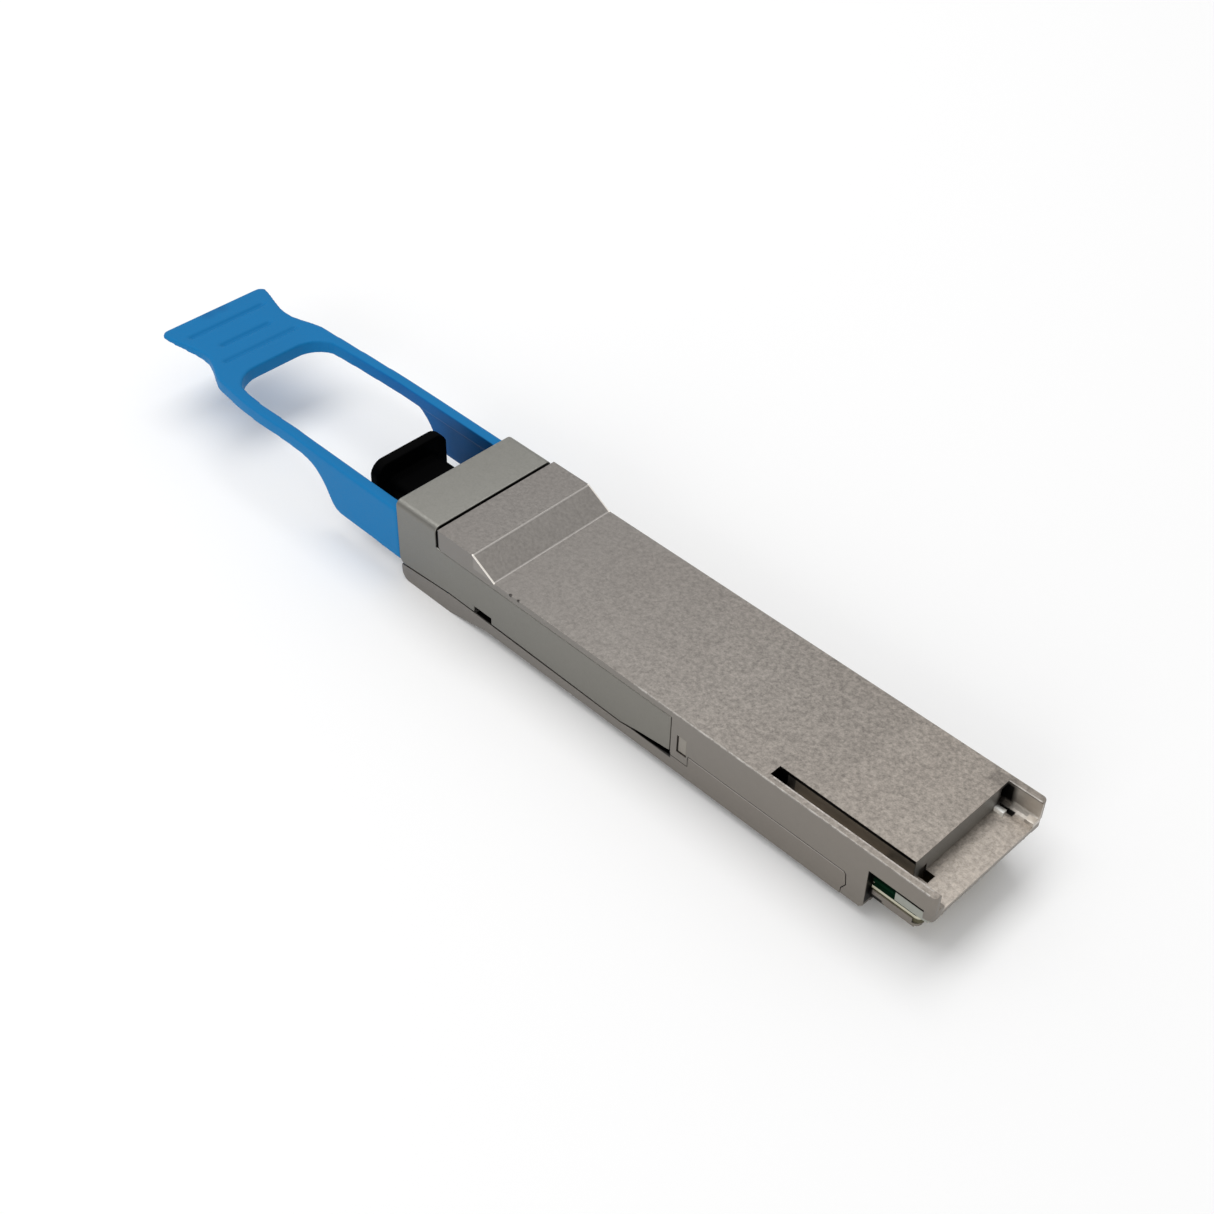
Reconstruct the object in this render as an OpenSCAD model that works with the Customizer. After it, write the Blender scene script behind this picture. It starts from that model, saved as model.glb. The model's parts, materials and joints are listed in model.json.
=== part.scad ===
// Pluggable optical transceiver module with a release slider, pull tab and dust plug.
// Frame: +X is the insertion direction (card end), +Z is up, and the origin is in the
// middle of the underside at the cage stop, where the top ramp meets the flat plate.

/* [Body] */
// Width of the module body and of the cage channel it runs in
body_w = 18.35; // [18.25:0.05:18.45]
// Height of the module body behind the ramp
body_h = 8.5; // [8.4:0.05:8.6]
// Distance from the cage stop to the card end
rear_len = 61.5; // [60.5:0.5:62.5]
// Height that the nose rises above the heat plate
nose_rise = 1.99; // [1.7:0.05:2.2]
// Depth that the nose hangs below the underside
nose_drop = 1.2; // [0.8:0.1:1.3]

/* [Release slider] */
// Wall thickness of the slider and of its arms
slider_t = 1.0; // [0.9:0.05:1.05]
// Distance from the cage stop forward to the slider's front edge
slider_front = 16.85; // [16.8:0.05:17.2]
// Distance from the cage stop back to the arm tips
arm_tip = 27.5; // [26.5:0.1:27.5]
// Height of the arms' upper edge
arm_top = 7.5; // [7.3:0.05:7.5]
// Release travel of the slider
travel = 2.1; // [1.5:0.1:2.1]

/* [Pull tab] */
// Distance from the cage stop forward to the tip of the tab
tab_tip = 65.7; // [62:0.1:70]
// Lower face of the tab's plate
tab_z0 = 6.9; // [6.7:0.1:7.1]
// Upper face of the tab's plate
tab_z1 = 8.85; // [8.6:0.05:9.1]
// Thickness of the tab's side arms
tab_wall = 1.1; // [0.9:0.05:1.2]
// Half width of the tab at its waist
tab_waist = 6.85; // [6:0.05:7.5]

/* [Dust plug] */
// Half width of the plug's flange
plug_hw = 5.5; // [5.3:0.1:6]
// Top of the plug's flange
plug_top = 8.55; // [8.3:0.05:9]
// Thickness of the plug's flange
plug_flange = 1.5; // [1.2:0.1:1.8]

/* [Optical port] */
// Distance between the two optical axes
port_pitch = 6.25; // [6.25:0.05:6.3]
// Height of the optical axes above the underside
port_z = 4.5; // [4.4:0.05:4.6]
// Width and height of each connector port
port_w = 4.7; // [4.6:0.05:4.8]
// Radius of the bore in each ferrule sleeve
sleeve_r = 0.626; // [0.62:0.001:0.63]

/* [Circuit board] */
// Thickness of the circuit board
pcb_t = 1.0; // [0.9:0.05:1.05]
// Height of the board's top face
pcb_z = 3.15; // [3.1:0.05:3.2]
// Half width of the card edge
card_hw = 8.2; // [8.1:0.05:8.2]
// Contacts in each row on one side of the card
card_contacts = 19; // [15:1:19]

/* [Hidden] */
$fn = 48;
hw = body_w / 2;
ch = hw - slider_t;              // inner face of the slider's walls
wall_in = 7.15;                  // inner face of the walls beside the arms
seam = 0.1;
hood_seam = 0.45;                // gap between the hood and the nose
nose_z = body_h + nose_rise;
nose_x = -9.43;                  // front face of the shell's nose
hood_x = nose_x - hood_seam;      // back edge of the slider's hood
ramp_x = -3.43;
plate_end = rear_len - 3.63;     // end of the heat plate, start of the recess
end_x = rear_len + 0.6;          // rounded lip at the card end
cut_x = rear_len - 7.24;         // start of the open sides at the card end
floor_z = 5.61;                  // recess floor
roof_z = 3.95;                   // underside of the roof over the card edge
rail_z = 6.03;                   // underside of the side rails
groove_x = rear_len - 21;
pin_y = port_pitch / 2;
plug_x = -24.8;                  // back face of the plug's flange
rec_x = -16.4;                   // front face of the receptacle
sleeve_x0 = -13.4;
sleeve_x1 = -6.4;
spring_y = 7.33;
spring_z = 4.6;
spring_x0 = 3.0;
spring_x1 = 13.1;
screws = [[18.5, 5.6], [50.5, 6.3]];

// ---------- helpers ----------
module bx(x0, x1, y0, y1, z0, z1) translate([x0, y0, z0]) cube([x1 - x0, y1 - y0, z1 - z0]);
// outline in X and Z, swept from y0 to y1
module side(pts, y0, y1) translate([0, y1, 0]) rotate([90, 0, 0]) linear_extrude(y1 - y0) polygon(pts);
// outline in Y and Z, swept from x0 to x1
module across(pts, x0, x1) translate([x0, 0, 0]) rotate([90, 0, 90]) linear_extrude(x1 - x0) polygon(pts);
// outline in X and Y, swept from z0 to z1
module plan(pts, z0, z1) translate([0, 0, z0]) linear_extrude(z1 - z0) polygon(pts);
module both() { children(); mirror([0, 1, 0]) children(); }
module rod(x0, x1, r, y = 0, z = 0, n = 48) translate([x0, y, z]) rotate([0, 90, 0]) cylinder(h = x1 - x0, r = r, $fn = n);
function arc(cx, cy, r, a0, a1, n = 6) = [for (i = [0:n]) let(a = a0 + (a1 - a0) * i / n) [cx + r * cos(a), cy + r * sin(a)]];
function rrect(x0, x1, y0, y1, r, n = 6) = concat(arc(x1 - r, y1 - r, r, 0, 90, n), arc(x0 + r, y1 - r, r, 90, 180, n),
    arc(x0 + r, y0 + r, r, 180, 270, n), arc(x1 - r, y0 + r, r, 270, 360, n));
function smooth(t) = let(u = max(0, min(1, t))) u * u * (3 - 2 * u);

// ---------- shells ----------
// lower edge of the slider's arm, front to back
function arm_low() = [[-slider_front, 1.9], [-slider_front + 0.2, 1.45], [-slider_front + 0.55, 1.15], [-7.8, 1.75], [4.2, 1.68],
    [17.1, 1.42], [20.2, 1.37], [22.8, 1.83], [arm_tip, 2.43]];

module upper_housing() color([0.60, 0.585, 0.56]) difference() {
    union() {
        // heat plate, ramp and nose roof
        side([[nose_x, 8.05], [nose_x, nose_z], [ramp_x, nose_z], [0, body_h], [plate_end, body_h], [plate_end, 7.62], [nose_x + 0.43, 7.62]], -hw, hw);
        bx(nose_x, plate_end, -ch + seam, ch - seam, 7.0, 7.7);
        both() {
            // wall beside the slider's arm, thicker round the spring pocket
            bx(nose_x, 29.5, wall_in, ch - seam, 1.3, 7.7);
            bx(1.5, 16, 5.9, ch - seam, 1.3, 7.7);
            // outer wall behind the arm, stepped over the lower shell's side strip
            side([[arm_tip + 0.15, 7.7], [cut_x, 7.7], [cut_x, 0.55], [cut_x - 0.5, 0.1], [rear_len - 10.05, 0.1],
                [rear_len - 10.05, 0.84], [rear_len - 9.52, 1.74], [rear_len - 9.7, 3.27], [rear_len - 9.95, 3.53],
                [30.2, 3.53], [30.2, 2.0], [arm_tip + 0.15, 2.0]], 7.975, hw);
            // side rail at the card end, with a web down to the roof
            plan(concat([[cut_x - 0.5, 8.3], [end_x, 8.3]], arc(end_x - 0.6, hw - 0.6, 0.6, 0, 90), [[cut_x - 0.5, hw]]), rail_z, body_h);
            bx(cut_x - 0.5, end_x - 0.6, 7.5, 8.35, 5.0, floor_z);
            translate([end_x - 0.1, 0, 0]) rotate([0, -90, 0]) linear_extrude(end_x - 0.1 - (plate_end - 0.2))
                polygon(concat([[rail_z - 0.5, 8.4], [floor_z - 0.1, 7.3]], [for (i = [0:5]) [floor_z + 1.0 - 1.0 * cos(i * 18), 7.35 + 1.0 * sin(i * 18)]], [[floor_z + 1.0, 8.4]]));
            // side wall over the card edge, full height at its rounded rear end
            plan(concat([[rear_len - 4.4, 7.3], [rear_len, 7.3]], arc(rear_len - 0.9, card_hw - 0.9, 0.9, 0, 90), [[rear_len - 4.4, card_hw]]), pcb_z + 0.1, 4.45);
            plan(concat([[rear_len - 0.5, 7.3], [end_x, 7.3]], arc(end_x - 0.8, hw - 0.82, 0.8, 0, 90), [[rear_len - 0.5, hw - 0.02]]), 4.9, 6.1);
            // screw posts
            for (s = screws) translate([s[0], s[1], 1.25]) cylinder(h = 6, r = 1.2);
        }
        // wall and roof at the recess
        bx(rear_len - 4.6, plate_end, -8.35, 8.35, 5.0, body_h - 0.2);
                side(concat([[rear_len - 4.6, floor_z], [rear_len - 4.6, roof_z]], arc(rear_len - 0.6, roof_z + 0.5, 0.5, -90, -45), arc(end_x - 0.5, 5.11, 0.5, -45, 0), [[end_x, floor_z]]), -7.6, 7.6);
        // thick strip under the long groove
        bx(groove_x - 1, plate_end, -8.4, -6.1, 4.9, 7.2);
        // heat pedestal over the processor
        bx(24.5, 37.5, -5.5, 5.5, 5.4, 7.2);
        // key block beside the slit
        bx(plate_end - 0.1, plate_end + 1.2, 6.35, 7.0, floor_z - 0.2, floor_z + 0.45);
    }
    // space for the receptacle, gasket and clamp
    bx(nose_x - 1, -3.9, -wall_in, wall_in, 1, nose_z - 1.0);
    bx(-4, -2.3, -wall_in, wall_in, 1, body_h + 0.2);
    both() {
        // spring pocket
        bx(2.9, 14.7, 6.5, ch + 0.2, 3.6, 5.6);
        // side window
        bx(28.5, 29.9, 7.0, hw + 1, 3.1, 5.6);
        // screw holes
        for (s = screws) translate([s[0], s[1], 1]) cylinder(h = 4.6, r = 0.82);
    }
    // long groove on one side of the plate
    bx(groove_x, plate_end + 1, -8.35, -6.8, floor_z, body_h + 1);
    // tunnel at the other side of the recess wall
    bx(rear_len - 6.6, plate_end + 1, 7.3, 8.3, floor_z + 0.001, body_h - 0.5);
    // window and slit through the recess floor
    bx(rear_len - 3.8, rear_len - 2.45, -5.95, -4.7, 3, floor_z + 1);
    bx(rear_len - 3.7, rear_len - 2.4, 7.02, 7.6, 3, floor_z + 1);
}

module lower_housing() color([0.47, 0.47, 0.455]) difference() {
    union() {
        // floor
        bx(-2, rear_len - 10.15, -hw, hw, 0, 1.2);
        bx(-2, rear_len - 9.7, -7.9, 7.9, 0, 1.2);
        side(concat([[rear_len - 10, 1.2], [rear_len - 10, 0]], arc(rear_len - 7.9, 0.8, 0.8, -90, 0), [[rear_len - 7.1, 1.2]]), -7.9, 7.9);
        // nose underside with a rounded front corner and a ramp
        side(concat(arc(-16.5 + nose_drop, 0, nose_drop, 180, 270), [[-8.0, -nose_drop], [-1.5, 0], [-1.5, 1.2], [-2.4, 1.2], [-2.4, 0]]), -hw, hw);
        both() {
            // lip under the slider's arm and strip behind it
            side([[-16.5, 0], [-16.5, 0.95], [-7.8, 1.65], [4.2, 1.58], [17.1, 1.32], [20.2, 1.27], [22.6, 1.55], [25.5, 1.66], [27.7, 1.9], [30.5, 1.9], [30.5, 0.6], [-1, 0.6], [-3, -0.3], [-15.3, -0.3]], ch - 0.02, hw);
            side([[30.1, 0.6], [30.1, 3.43], [rear_len - 10.05, 3.43], [rear_len - 9.82, 3.2], [rear_len - 9.64, 1.74], [rear_len - 10.15, 0.9], [rear_len - 10.15, 0.6]], 7.975, hw);
            // runners under the card edge
            bx(rear_len - 10, rear_len - 1.9, 7.3, 7.9, 1.0, pcb_z - pcb_t - 0.02);
            plan(concat([[rear_len - 7.1, 7.3], [rear_len - 1.2, 7.3]], arc(rear_len - 2.0, card_hw - 0.6, 0.8, 0, 90), [[rear_len - 7.1, card_hw + 0.2]]), 1.8, pcb_z - pcb_t - 0.02);
            // lip beside the card edge
            bx(rear_len - 7.1, rear_len - 1.95, card_hw + 0.03, card_hw + 0.2, 1.9, 2.7);
            // stop lug in the slider's notch
            bx(-3.5, -2.9, ch - 0.02, hw - 0.72, 1.4, 2.4);
            // board rest posts
            bx(22, 24, 5.6, 6.9, 1.1, pcb_z - pcb_t - 0.02);
            bx(40, 42, 5.6, 7.8, 1.1, pcb_z - pcb_t - 0.02);
        }
    }
    // clearance for the corners of the upper shell's side wall
    both() bx(rear_len - 9.55, rear_len - 5, 7.9, hw + 1, -1, 1.21);
    both() for (s = screws) translate([s[0], s[1], -1]) {
        cylinder(h = 4, r = 0.86);
        cylinder(h = 1.65, r = 1.5);
    }
}

module side_latch_pad() bx(28.6, 29.8, 7.3, hw - 0.12, 3.2, 5.5);
module side_latch_pad_left() color([0.38, 0.36, 0.33]) mirror([0, 1, 0]) side_latch_pad();
module side_latch_pad_right() color([0.38, 0.36, 0.33]) side_latch_pad();

// ---------- release mechanism ----------
module release_slider() color([0.56, 0.57, 0.54]) difference() {
    union() {
        // hood over the receptacle
        difference() {
            across(concat([[-hw, 7.3]], arc(-hw + 0.8, nose_z - 0.8, 0.8, 180, 90), arc(hw - 0.8, nose_z - 0.8, 0.8, 90, 0), [[hw, 7.3]]), -slider_front, hood_x);
            bx(-slider_front - 1, nose_x + 1, -ch, ch, 6, nose_z - 1.0);
        }
        both() {
            side(concat(arm_low(), [[arm_tip, arm_top], [hood_x + 0.43, arm_top], [hood_x, arm_top + 0.43], [-slider_front, arm_top + 0.43]]), ch, hw);
            // spring lug
            bx(13.2, 14.4, 6.7, ch + 0.1, 3.8, 5.4);
        }
    }
    // notch for the stop lug
    both() bx(-3.6, -2.8 + travel, ch - 1, hw + 1, 1, 2.6);
}

// half width of the tab at a distance x in front of the cage stop
function tab_hw(x) = x < 52.3 ? 9.1 - 0.9 * smooth((x - 30) / 34)
    : x < 58.5 ? let(a = tab_hw(52.299)) a + (tab_waist - a) * smooth((x - 52.3) / 6.2)
    : tab_waist + 1.45 * smooth((x - 58.5) / 7.5);
// underside of the tab, which thins towards the tip
function tab_low(x) = x < 54 ? tab_z0 : x < 60 ? tab_z0 + 0.7 * (x - 54) / 6 : tab_z0 + 0.7 + 0.7 * (x - 60) / (tab_tip - 60);

module pull_tab() color([0.14, 0.49, 0.74]) difference() {
    union() {
        // plate with its finger window
        difference() {
            plan(concat([for (x = [slider_front, for (i = [0:24]) 30 + (tab_tip - 1.2 - 30) * i / 24]) [-x, tab_hw(x)]],
                [for (a = [20, 45, 70, 90]) [-(tab_tip - 1.2) - 1.2 * sin(a), tab_hw(tab_tip) - 1.2 + 1.2 * cos(a)]],
                [for (a = [90, 70, 45, 20]) [-(tab_tip - 1.2) - 1.2 * sin(a), -tab_hw(tab_tip) + 1.2 - 1.2 * cos(a)]],
                [for (x = [for (i = [24:-1:0]) 30 + (tab_tip - 1.2 - 30) * i / 24, slider_front]) [-x, -tab_hw(x)]]), tab_z0, tab_z1);
            plan(concat(arc(-47.6, 3.2, 4.0, 180, 110), [[-44.5, 7.25], [-36, 7.6], [0, 7.6], [0, -7.6], [-36, -7.6], [-44.5, -7.25]],
                arc(-47.6, -3.2, 4.0, -110, -180)), 0, 20);
        }
        both() {
            // side arms, curved up into the plate at the front
            side([[-slider_front, 1.28], [-27.2, 1.39], [-28.4, 1.46], [-29.15, 1.7], [-29.7, 2.15], [-30.1, 2.8], [-30.8, 4.1], [-31.6, 5.2], [-32.5, 6.0],
                [-33.4, 6.5], [-34.3, 6.75], [-35.3, 6.9], [-37.2, 6.98], [-37.2, 7.5], [-35, 8.0], [-slider_front, 8.0]], 9.1 - tab_wall, 9.1);
            // tongues held inside the slider
            bx(-slider_front - 0.4, -11.5, 7.25, ch - 0.08, 2.2, 8.6);
            bx(-slider_front - 1.6, -slider_front - 0.05, 7.25, 9.0, 2.2, 8.6);
        }
    }
    // grip grooves
    for (g = [[62.2, 6.0], [58.2, 4.1], [55.1, 6.0]]) {
        bx(-g[0] - 0.3, -g[0] + 0.3, -g[1], g[1], tab_z1 - 0.25, 12);
        bx(-g[0] - 0.3, -g[0] + 0.3, -g[1], g[1], 0, tab_low(g[0]) + 0.2);
    }
    // thinner towards the tip
    side([[-tab_tip - 1, 5], [-54, 5], [-54, tab_z0 - 0.001], [-60, tab_low(60)], [-tab_tip, tab_low(tab_tip)], [-tab_tip - 1, tab_low(tab_tip)]], -12, 12);
}

module dust_plug() color([0.09, 0.09, 0.095]) difference() {
    union() {
        across(rrect(-plug_hw, plug_hw, 2 * port_z - plug_top, plug_top, 1.8), plug_x - plug_flange, plug_x);
        across(rrect(-4.0, 4.0, port_z - 1.6, port_z + 1.6, 1.0), plug_x - 0.1, rec_x - 0.1);
        both() bx(rec_x - 0.2, -7.5, pin_y - 2.2, pin_y + 2.2, port_z - 2.2, port_z + 2.2);
    }
    // hollow round each ferrule sleeve
    both() rod(-15.2, -7, 1.7, pin_y, port_z);
}

// coil spring along X, made as rings of a small polygon carried round a helix
function coil_pt(t, k, turns, len, R, w, sides) = let(a = 360 * turns * t, b = 360 * k / sides)
    [w * sin(b) + w + (len - 2 * w) * t, (R + w * cos(b)) * cos(a), (R + w * cos(b)) * sin(a)];
module coil(len, R, w, turns, per = 9, sides = 6) {
    n = turns * per;
    polyhedron(points = [for (i = [0:n]) for (k = [0:sides - 1]) coil_pt(i / n, k, turns, len, R, w, sides)],
        faces = concat([for (k = [1:sides - 2]) [0, k + 1, k]], [for (i = [0:n - 1]) for (k = [0:sides - 1]) for (h = [0, 1])
            let(a = i * sides + k, b = (i + 1) * sides + k, c = (i + 1) * sides + (k + 1) % sides, d = i * sides + (k + 1) % sides)
            h == 0 ? [a, c, b] : [a, d, c]],
            [for (k = [1:sides - 2]) [n * sides, n * sides + k, n * sides + k + 1]]));
}
module return_spring_right() color([0.75, 0.75, 0.76]) translate([spring_x0, spring_y, spring_z]) coil(spring_x1 - spring_x0, 0.6, 0.13, 8);
module return_spring_left() color([0.75, 0.75, 0.76]) translate([spring_x0, -spring_y, spring_z]) coil(spring_x1 - spring_x0, 0.6, 0.13, 8);

// ---------- optics ----------
module lc_receptacle() color([0.16, 0.16, 0.17]) difference() {
    union() {
        difference() {
            bx(rec_x, -4.0, -7.0, 7.0, 0.05, nose_z - 1.15);
            both() {
                bx(rec_x - 1, sleeve_x1 - 0.4, pin_y - port_w / 2, pin_y + port_w / 2, port_z - port_w / 2, port_z + port_w / 2);
                // latch slot above the port
                bx(rec_x - 1, -8.5, pin_y - 1.6, pin_y + 1.6, port_z, port_z + 3.6);
            }
        }
        both() rod(-13.9, -6.0, 1.5, pin_y, port_z);
    }
    both() {
        rod(-14.5, -5.5, 1.03, pin_y, port_z);
        rod(sleeve_x1 + 0.05, -3, 1.53, pin_y, port_z);
    }
}
module sleeve(y) difference() {
    rod(sleeve_x0, sleeve_x1, 1.02, y, port_z);
    rod(sleeve_x0 - 1, sleeve_x1 + 1, sleeve_r, y, port_z);
}
module ferrule_sleeve_tx() color([0.93, 0.93, 0.9]) sleeve(-pin_y);
module ferrule_sleeve_rx() color([0.93, 0.93, 0.9]) sleeve(pin_y);
module transmit_optics() color([0.80, 0.68, 0.38]) {
    rod(sleeve_x1 + 0.1, -2.3, 1.5, -pin_y, port_z);
    rod(-2.4, -1.5, 2.2, -pin_y, port_z);
    bx(-1.6, 6.6, -pin_y - 2.1, -pin_y + 2.1, port_z - 2.0, port_z + 2.0);
}
module receive_optics() color([0.72, 0.72, 0.70]) {
    rod(sleeve_x1 + 0.1, -2.3, 1.5, pin_y, port_z);
    rod(-2.4, -1.5, 2.2, pin_y, port_z);
    rod(-1.6, 5.2, 1.9, pin_y, port_z);
    rod(5.1, 6.6, 1.5, pin_y, port_z);
}
module shield_gasket() color([0.25, 0.25, 0.26]) difference() {
    bx(-3.95, -3.35, -7.0, 7.0, 1.3, body_h);
    both() rod(-5, -3, 1.56, pin_y, port_z);
}
module optics_clamp() color([0.70, 0.70, 0.69]) difference() {
    bx(-3.3, -2.5, -7.0, 7.0, 1.3, body_h);
    both() rod(-5, -2, 1.56, pin_y, port_z);
}
// strip along a path in X and Z
function flex_path(x) = [[x + 0.1, 6.2], [x + 0.1, 4.4], [x + 0.35, 3.7], [x + 0.85, 3.35], [x + 1.6, pcb_z + 0.1], [x + 4.6, pcb_z + 0.1]];
function nrm(p, i) = let(a = p[max(0, i - 1)], b = p[min(len(p) - 1, i + 1)], d = b - a, l = norm(d)) [-d[1] / l, d[0] / l];
module flex(x, y, w) let(p = flex_path(x)) side(concat([for (i = [0:len(p) - 1]) p[i] + 0.06 * nrm(p, i)],
    [for (i = [len(p) - 1:-1:0]) p[i] - 0.06 * nrm(p, i)]), y - w / 2, y + w / 2);
module transmit_flex() color([0.75, 0.45, 0.15]) flex(6.62, -pin_y, 4.0);
module receive_flex() color([0.75, 0.45, 0.15]) flex(6.62, pin_y, 3.0);

// ---------- circuit board ----------
module circuit_board() color([0.05, 0.30, 0.18]) difference() {
    plan(concat([[8.6, -5.75], [16.1, -5.75], [16.1, -7.0], [30.3, -7.0], [30.3, -7.8], [cut_x + 0.1, -7.8], [cut_x + 0.1, -card_hw],
        [rear_len - 1.8, -card_hw]], arc(rear_len - 1.8, -card_hw + 0.7, 0.7, -60, 0, 3),
        arc(rear_len - 1.8, card_hw - 0.7, 0.7, 0, 60, 3), [[rear_len - 1.8, card_hw], [cut_x + 0.1, card_hw], [cut_x + 0.1, 7.8],
        [30.3, 7.8], [30.3, 7.0], [16.1, 7.0], [16.1, 5.75], [8.6, 5.75]]), pcb_z - pcb_t, pcb_z);
    both() for (s = screws) translate([s[0], s[1], 0]) {
        cylinder(h = 8, r = 1.35);
        if (s[0] < 30) bx(-1.35, 1.35, 0, 3, 0, 8);
    }
}
module contacts(z) for (k = [0:card_contacts - 1]) let(y = (k - (card_contacts - 1) / 2) * 0.8) {
    bx(rear_len - 2.7, rear_len - 1.5, y - 0.27, y + 0.27, z, z + 0.04);
    bx(rear_len - 4.7, rear_len - 3.2, y - 0.27, y + 0.27, z, z + 0.04);
}
module card_contacts_top() color([0.85, 0.68, 0.25]) contacts(pcb_z);
module card_contacts_bottom() color([0.85, 0.68, 0.25]) contacts(pcb_z - pcb_t - 0.04);
module signal_processor() color([0.13, 0.13, 0.14]) {
    bx(24.8, 37.2, -6.0, 6.0, pcb_z + 0.01, pcb_z + 0.7);
    bx(26.0, 36.0, -4.8, 4.8, pcb_z + 0.6, pcb_z + 1.65);
}
module laser_driver() color([0.13, 0.13, 0.14]) bx(12.2, 15.4, -4.7, -1.5, pcb_z + 0.01, pcb_z + 0.8);
module receive_amplifier() color([0.13, 0.13, 0.14]) bx(12.2, 15.0, 1.7, 4.5, pcb_z + 0.01, pcb_z + 0.8);
module control_chip() color([0.13, 0.13, 0.14]) bx(42.5, 47.5, -2.6, 2.4, pcb_z + 0.01, pcb_z + 0.9);
module chip_part(x, y, l, w, h) bx(x - l / 2, x + l / 2, y - w / 2, y + w / 2, pcb_z + 0.01, pcb_z + h);
module board_passives() color([0.62, 0.52, 0.40]) {
    for (i = [0:6]) chip_part(25 + 2 * i, 6.5, 1.0, 0.5, 0.5);
    for (i = [0:6]) chip_part(25 + 2 * i, -6.5, 1.0, 0.5, 0.5);
    for (i = [0:3]) for (s = [-1, 1]) chip_part(40.2, s * (1.2 + 1.4 * i), 0.5, 1.0, 0.5);
    for (i = [0:2]) chip_part(49.4, -1.6 + 1.6 * i, 0.8, 1.2, 0.7);
    chip_part(20.8, 2.2, 2.5, 2.0, 1.2);
    chip_part(20.8, -2.2, 2.5, 2.0, 1.2);
}
module thermal_pad_processor() color([0.55, 0.62, 0.70]) bx(26.2, 35.8, -4.6, 4.6, pcb_z + 1.66, 5.39);
module thermal_pad_optics() color([0.55, 0.62, 0.70]) bx(-1.0, 6.0, -pin_y - 1.9, -pin_y + 1.9, port_z + 2.01, 6.99);

// ---------- fasteners ----------
module screw() difference() {
    union() {
        cylinder(h = 0.64, r = 1.4);
        cylinder(h = 5.0, r = 0.8);
    }
    translate([0, 0, -0.1]) cylinder(h = 0.5, r = 0.55, $fn = 6);
}
module cover_screws() color([0.30, 0.30, 0.31]) both() for (s = screws) translate([s[0], s[1], 0.01]) screw();

upper_housing();
lower_housing();
release_slider();
pull_tab();
dust_plug();
lc_receptacle();
ferrule_sleeve_tx();
ferrule_sleeve_rx();
transmit_optics();
receive_optics();
transmit_flex();
receive_flex();
circuit_board();
card_contacts_top();
card_contacts_bottom();
signal_processor();
laser_driver();
receive_amplifier();
control_chip();
board_passives();
thermal_pad_processor();
thermal_pad_optics();
return_spring_left();
return_spring_right();
cover_screws();
optics_clamp();
shield_gasket();
side_latch_pad_left();
side_latch_pad_right();
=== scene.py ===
import json
import math

import bmesh
import bpy
from mathutils import Matrix, Vector


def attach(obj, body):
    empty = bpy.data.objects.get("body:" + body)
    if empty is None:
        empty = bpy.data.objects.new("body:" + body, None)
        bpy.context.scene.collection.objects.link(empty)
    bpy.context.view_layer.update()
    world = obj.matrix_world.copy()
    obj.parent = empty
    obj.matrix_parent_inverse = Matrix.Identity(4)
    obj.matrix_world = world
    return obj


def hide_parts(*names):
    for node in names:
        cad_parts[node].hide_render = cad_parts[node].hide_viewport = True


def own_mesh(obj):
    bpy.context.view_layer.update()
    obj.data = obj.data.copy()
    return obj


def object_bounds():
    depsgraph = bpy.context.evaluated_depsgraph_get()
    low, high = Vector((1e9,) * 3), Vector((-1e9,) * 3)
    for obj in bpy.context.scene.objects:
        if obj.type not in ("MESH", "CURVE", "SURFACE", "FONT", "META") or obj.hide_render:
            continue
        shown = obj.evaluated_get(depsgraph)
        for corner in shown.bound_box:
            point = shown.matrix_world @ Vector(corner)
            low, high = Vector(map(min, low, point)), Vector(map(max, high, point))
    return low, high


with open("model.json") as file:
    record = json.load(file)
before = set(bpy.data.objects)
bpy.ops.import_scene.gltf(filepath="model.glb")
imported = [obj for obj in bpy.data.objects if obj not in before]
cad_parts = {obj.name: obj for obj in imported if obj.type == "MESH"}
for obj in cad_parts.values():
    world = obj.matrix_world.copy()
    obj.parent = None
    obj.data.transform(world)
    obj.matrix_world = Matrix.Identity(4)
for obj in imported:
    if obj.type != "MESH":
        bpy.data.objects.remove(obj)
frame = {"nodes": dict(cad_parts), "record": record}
cad_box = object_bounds()
N = frame["nodes"]
MM = 0.001

# --------------------------------------------------------------- camera
cam_data = bpy.data.cameras.new("camera")
cam = bpy.data.objects.new("camera", cam_data)
bpy.context.scene.collection.objects.link(cam)
RIGHT = Vector((0.7061380178, 0.7078222801, 0.0188870133)).normalized()
FWD = Vector((-0.5109700948, 0.5278571529, -0.6784367239)).normalized()
UP = RIGHT.cross(FWD).normalized()
RIGHT = FWD.cross(UP).normalized()
rot = Matrix((RIGHT, UP, -FWD)).transposed()
cam.matrix_world = Matrix.Translation(Vector((113.94092, -108.52295, 144.44588)) * MM) @ rot.to_4x4()
cam_data.sensor_width = 36.0
cam_data.lens = 1810.7402958 / 1214.0 * 36.0
cam_data.clip_start = 0.01
cam_data.clip_end = 10.0
bpy.context.scene.camera = cam

# --------------------------------------------------------------- stage
scene = bpy.context.scene
scene.view_settings.view_transform = "Standard"
scene.view_settings.look = "None"
scene.view_settings.exposure = 0.0
scene.view_settings.gamma = 1.0

FLOOR_Z = cad_box[0][2] - 0.00002


def make_floor():
    me = bpy.data.meshes.new("floor")
    bm = bmesh.new()
    bmesh.ops.create_grid(bm, x_segments=8, y_segments=8, size=1.5)
    bm.to_mesh(me)
    bm.free()
    o = bpy.data.objects.new("floor", me)
    o.location = (0.0, 0.0, FLOOR_Z)
    scene.collection.objects.link(o)
    m = bpy.data.materials.new("floor_paper")
    m.use_nodes = True
    b = m.node_tree.nodes["Principled BSDF"]
    b.inputs["Base Color"].default_value = (0.95, 0.95, 0.95, 1)
    b.inputs["Roughness"].default_value = 0.9
    b.inputs["Specular IOR Level"].default_value = 0.1
    me.materials.append(m)
    return o


make_floor()

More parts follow.
